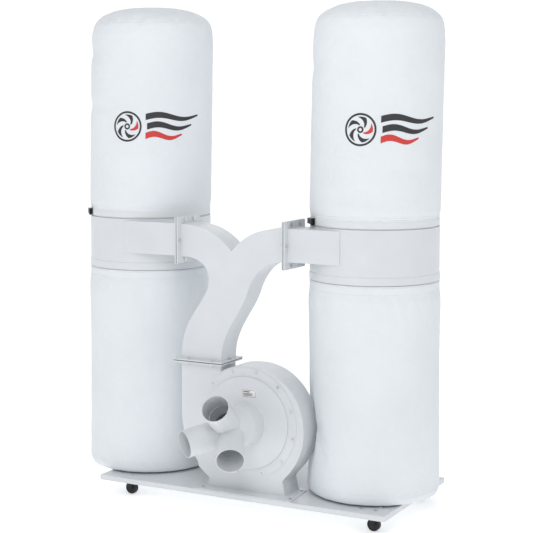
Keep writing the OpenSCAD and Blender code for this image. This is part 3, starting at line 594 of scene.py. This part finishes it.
# Soft hollows in the filter bags: angle, height, depth, and how wide and high they reach
HOLLOWS = {
    "left": [(-150, 1.80, 0.0075, 0.62, 0.030), (-135, 1.585, 0.0070, 0.70, 0.026),
             (-75, 1.315, 0.0050, 0.50, 0.045), (-20, 1.700, 0.0045, 0.45, 0.060)],
    "right": [(-140, 1.735, 0.0055, 0.60, 0.030), (-40, 1.355, 0.0050, 0.55, 0.040),
              (-95, 1.255, 0.0045, 0.50, 0.028)],
}


def turned(angle, at):
    """The smallest difference between two angles, in radians."""
    return (angle - at + math.pi) % TAU - math.pi


def lean_at(share):
    """How far to the right a filter bag leans at that share of its height."""
    return LEAN * max(0.0, share) ** LEAN_CURVE


def shape_filter_bag(bag):
    """The bag leans a little to the right as it rises, and isn't blown up quite evenly."""
    low, high = bag.rows[0][1], bag.rows[-1][1]
    for vertex in bag.object.data.vertices:
        offset = vertex.co - bag.centre
        angle, share = math.atan2(offset.y, offset.x), (offset.z - low) / (high - low)
        out = Vector((offset.x, offset.y, 0)).normalized() if offset.xy.length > 1e-4 else Vector()
        for at, z, depth, wide, tall in HOLLOWS[bag.side]:
            vertex.co -= out * depth * bell(turned(angle, math.radians(at)), wide) * bell(
                offset.z - z, tall)
        vertex.co.x += lean_at(share)


def sew_side_seam(bag):
    """A lapped seam stands up a little along one side."""
    for i in range(len(bag.pinned), bag.seam):
        numbers = bag.row(i)
        for step, lift in ((-1, 0.0010), (0, 0.0020), (1, 0.0010)):
            vertex = bag.object.data.vertices[numbers[(SEAM_COLUMN + step) % len(numbers)]]
            out = vertex.co - bag.centre
            out.z = 0
            vertex.co += out.normalized() * lift


def finish_bag(bag):
    mesh = bag.object.data
    mesh.materials.append(MATERIALS["bag_cloth"])
    mesh.polygons.foreach_set("use_smooth", [True] * len(mesh.polygons))
    smooth = bag.object.modifiers.new("smooth", "SUBSURF")
    smooth.levels = smooth.render_levels = 1
    thickness = bag.object.modifiers.new("thickness", "SOLIDIFY")
    thickness.thickness = CLOTH_T
    thickness.offset = -1
    mesh.update()


def surface_of(bag):
    return BVHTree.FromObject(bag.object, bpy.context.evaluated_depsgraph_get())


def on_bag(bag, tree, angle, z, lift):
    """The place just outside the bag's cloth at that angle and height, and its normal."""
    share = (z - bag.rows[0][1]) / (bag.rows[-1][1] - bag.rows[0][1])
    lean = lean_at(share) if bag.kind == "filter" else 0.0
    out = Vector((math.cos(angle), math.sin(angle), 0))
    start = bag.centre + Vector((lean, 0, z)) + out * 0.4
    hit, normal, _, _ = tree.ray_cast(start, -out)
    if hit is None:
        return None
    if normal.dot(out) < 0:
        normal = -normal
    return hit + normal * lift, normal


# Rings of one stitch: place along it, share of its radius, and height above the cloth
STITCH_RINGS = ((0.0, 0.45, -0.6), (0.22, 1.0, 0.3), (0.78, 1.0, 0.3), (1.0, 0.45, -0.6))
# Height of the hem's first line and the step to its second, then the same for the end seam
SEWN_LINES = {"filter": (1.1665, 0.010, 1.930, -0.012),
              "collection": (0.8885, 0.026, 0.122, 0.012)}
SIDE_SEAM_HALF_A = 0.012


def add_stitch(bm, a, b, normal, radius):
    """One stitch: a short thread, thinner where it goes into the cloth at its ends."""
    along = (b - a).normalized()
    side = along.cross(normal).normalized()
    rings = []
    for share, size, rise in STITCH_RINGS:
        centre = a.lerp(b, share) + normal * radius * rise
        rings.append([bm.verts.new(centre + (side * math.cos(t) + normal * math.sin(t)) * radius * size)
                      for t in (TAU * k / 5 for k in range(5))])
    for one, two in zip(rings[:-1], rings[1:]):
        for k in range(5):
            bm.faces.new((one[k], one[(k + 1) % 5], two[(k + 1) % 5], two[k]))
    bm.faces.new(rings[0][::-1])
    bm.faces.new(rings[-1])


def sew_line(bm, path, stitch=0.0085, gap=0.0035, radius=0.0007):
    """Stitches one after another along a path of places and normals."""
    travelled, begin = 0.0, None
    for (p, n), (q, _) in zip(path[:-1], path[1:]):
        length = (q - p).length
        at = 0.0
        while at < length:
            left = stitch - travelled if begin is not None else gap - travelled
            step = min(left, length - at)
            at += step
            travelled += step
            if step < left:
                break
            place = p.lerp(q, at / length)
            if begin is None:
                begin = place
            else:
                add_stitch(bm, begin, place, n, radius)
                begin = None
            travelled = 0.0


def ring_path(bag, tree, z, count=240):
    places = [on_bag(bag, tree, TAU * i / count, z, 0.0004) for i in range(count + 1)]
    return [p for p in places if p]


def sew(bag, tree):
    """Hem, end seam and side seam stitching, as one piece on the bag."""
    bm = bmesh.new()
    hem, hem_step, end, end_step = SEWN_LINES[bag.kind]
    for z in (hem, hem + hem_step, end, end + end_step):
        sew_line(bm, ring_path(bag, tree, z))
    low, high = sorted((hem, end))
    for turn in (-SIDE_SEAM_HALF_A, SIDE_SEAM_HALF_A):
        path = [on_bag(bag, tree, SIDE_SEAM_A + turn, low + (high - low) * i / 90, 0.0004)
                for i in range(91)]
        sew_line(bm, [p for p in path if p])
    return piece_from(bm, f"{bag.node}_stitching", THREAD)


def piece_from(bm, name, material, smooth=True):
    mesh = bpy.data.meshes.new(name)
    bm.to_mesh(mesh)
    bm.free()
    mesh.materials.append(material)
    mesh.polygons.foreach_set("use_smooth", [smooth] * len(mesh.polygons))
    piece = bpy.data.objects.new(name, mesh)
    bpy.context.scene.collection.objects.link(piece)
    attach(piece, "frame")
    return piece


# ------------------------------------------------------------------ plain graphics, no lettering

PRINT_A = math.radians(-52)
PRINT_Z = 1.503
PRINT_R = 0.256
INK_LIFT = 0.0006
ICON_AT = (-0.127, 0.0)
BLADES, BLADE_TURN, BLADE_FROM, BLADE_TO = 5, 0.35, 0.0165, 0.0480
WAVE_T, WAVE_RISE, WAVE_PHASE, WAVE_TAPER = 0.025, 0.0085, 7.0, 0.75


def strip(left, right):
    """Faces between two lines with as many points, as lists of four points in the print's plane."""
    return [(left[i], right[i], right[i + 1], left[i + 1]) for i in range(len(left) - 1)]


def ring_faces(centre, inner, outer, steps=72):
    def circle(radius):
        return [(centre[0] + radius * math.cos(TAU * i / steps),
                 centre[1] + radius * math.sin(TAU * i / steps)) for i in range(steps + 1)]
    middle = (inner + outer) / 2
    return strip(circle(inner), circle(middle)) + strip(circle(middle), circle(outer))


def blade_faces(centre, turn, inner, outer, steps=10):
    """One swept rotor blade, wider outside than inside."""
    lines = []
    for share in (0.0, 0.33, 0.66, 1.0):
        line = []
        for i in range(steps + 1):
            t = i / steps
            radius = inner + (outer - inner) * t
            a = turn + 0.75 * t + share * (0.28 + 0.42 * t)
            line.append((centre[0] + radius * math.cos(a), centre[1] + radius * math.sin(a)))
        lines.append(line)
    return [face for one, two in zip(lines[:-1], lines[1:]) for face in strip(one, two)]


def wave_faces(s0, s1, height, thick, steps=48):
    """A flowing band that tapers to its right end."""
    low, middle, high = [], [], []
    for i in range(steps + 1):
        t = i / steps
        s = s0 + (s1 - s0) * t
        rise = height + WAVE_RISE * math.sin(t * WAVE_PHASE)
        half = thick / 2 * (1 - WAVE_TAPER * t ** 2)
        low.append((s, rise - half))
        middle.append((s, rise))
        high.append((s, rise + half))
    return strip(low, middle) + strip(middle, high)


def dark_faces():
    faces = ring_faces(ICON_AT, 0.0535, 0.0610) + ring_faces(ICON_AT, 0.0060, 0.0125)
    for k in range(BLADES - 1):
        faces += blade_faces(ICON_AT, TAU * k / BLADES + BLADE_TURN, BLADE_FROM, BLADE_TO)
    return faces + wave_faces(-0.050, 0.186, 0.038, WAVE_T) + wave_faces(-0.044, 0.150, 0.0, WAVE_T)


def accent_faces():
    last = TAU * (BLADES - 1) / BLADES + BLADE_TURN
    return blade_faces(ICON_AT, last, BLADE_FROM, BLADE_TO) + wave_faces(
        -0.050, 0.104, -0.038, WAVE_T)


def print_on(bag, tree, faces, name, ink):
    """Lays flat graphics on the bag's cloth, just above its surface."""
    bm = bmesh.new()
    known = {}

    def place(point):
        key = (round(point[0], 5), round(point[1], 5))
        if key not in known:
            found = on_bag(bag, tree, PRINT_A + point[0] / PRINT_R, PRINT_Z + point[1], INK_LIFT)
            known[key] = bm.verts.new(found[0])
        return known[key]

    for face in faces:
        corners = [place(point) for point in face]
        if len(set(corners)) == len(corners):
            bm.faces.new(corners)
    return piece_from(bm, name, ink)


# ------------------------------------------------------------------ label marks and weld beads


# Border and bars of the label, as shares of its width and height: left, right, low, high
LABEL_BARS = ((0.04, 0.96, 0.08, 0.12), (0.04, 0.96, 0.88, 0.92),
              (0.04, 0.06, 0.12, 0.88), (0.94, 0.96, 0.12, 0.88),
              (0.12, 0.55, 0.66, 0.76), (0.12, 0.80, 0.48, 0.54),
              (0.12, 0.72, 0.36, 0.42), (0.12, 0.76, 0.24, 0.30))
LABEL_LIFT = 0.00015
WELD_R, WELD_STEPS = 0.0852, 260


def add_label_marks():
    """A plain border and a few bars on the machine's data label."""
    low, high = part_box("data_label")
    bm = bmesh.new()
    width, height, y = high[0] - low[0], high[2] - low[2], low[1] - LABEL_LIFT

    def bar(x0, x1, z0, z1):
        corners = [(x0, z0), (x1, z0), (x1, z1), (x0, z1)]
        bm.faces.new([bm.verts.new((low[0] + width * x, y, low[2] + height * z))
                      for x, z in corners])

    for edges in LABEL_BARS:
        bar(*edges)
    piece_from(bm, "data_label_marks", INK_DARK, smooth=False)


def weld_bead(name, places, radius=0.0022):
    """A bead along a closed line of places and normals, with the ripples of its passes."""
    bm = bmesh.new()
    rings, count = [], len(places)
    for i, (place, normal) in enumerate(places):
        along = (places[(i + 1) % count][0] - places[i - 1][0]).normalized()
        side = along.cross(normal).normalized()
        size = radius * (1 + 0.16 * math.sin(i * 2.1) + RNG.uniform(-0.05, 0.05))
        rings.append([bm.verts.new(place + (side * math.cos(t) + normal * 0.7 * math.sin(t)) * size)
                      for t in (TAU * k / 8 for k in range(8))])
    for i, ring in enumerate(rings):
        after = rings[(i + 1) % count]
        for k in range(8):
            bm.faces.new((ring[k], ring[(k + 1) % 8], after[(k + 1) % 8], after[k]))
    return piece_from(bm, name, MATERIALS["coated_steel"])


def add_collar_weld():
    low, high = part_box("inlet_cover")
    centre = Vector(((low[0] + high[0]) / 2, low[1], (low[2] + high[2]) / 2))
    places = []
    for i in range(WELD_STEPS):
        a = TAU * i / WELD_STEPS
        out = Vector((math.cos(a), 0, math.sin(a)))
        places.append((centre + out * WELD_R, (out + Vector((0, -1, 0))).normalized()))
    weld_bead("collar_weld", places)


# ------------------------------------------------------------------ start


def add_bags():
    bags = [Bag(side, kind) for side in ("left", "right") for kind in ("filter", "collection")]
    settle(bags)
    for bag in bags:
        if bag.kind == "filter":
            shape_filter_bag(bag)
        sew_side_seam(bag)
        finish_bag(bag)
        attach(bag.object, "frame")
        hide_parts(bag.node)
        tree = surface_of(bag)
        extras = [sew(bag, tree)]
        if bag.kind == "filter":
            extras.append(print_on(bag, tree, dark_faces(), f"{bag.side}_print_dark", INK_DARK))
            extras.append(print_on(bag, tree, accent_faces(), f"{bag.side}_print_accent", INK_ACCENT))


add_camera()
add_lights()
add_floor(floor_paint())
dress_cad_nodes()
add_bags()
add_label_marks()
add_collar_weld()
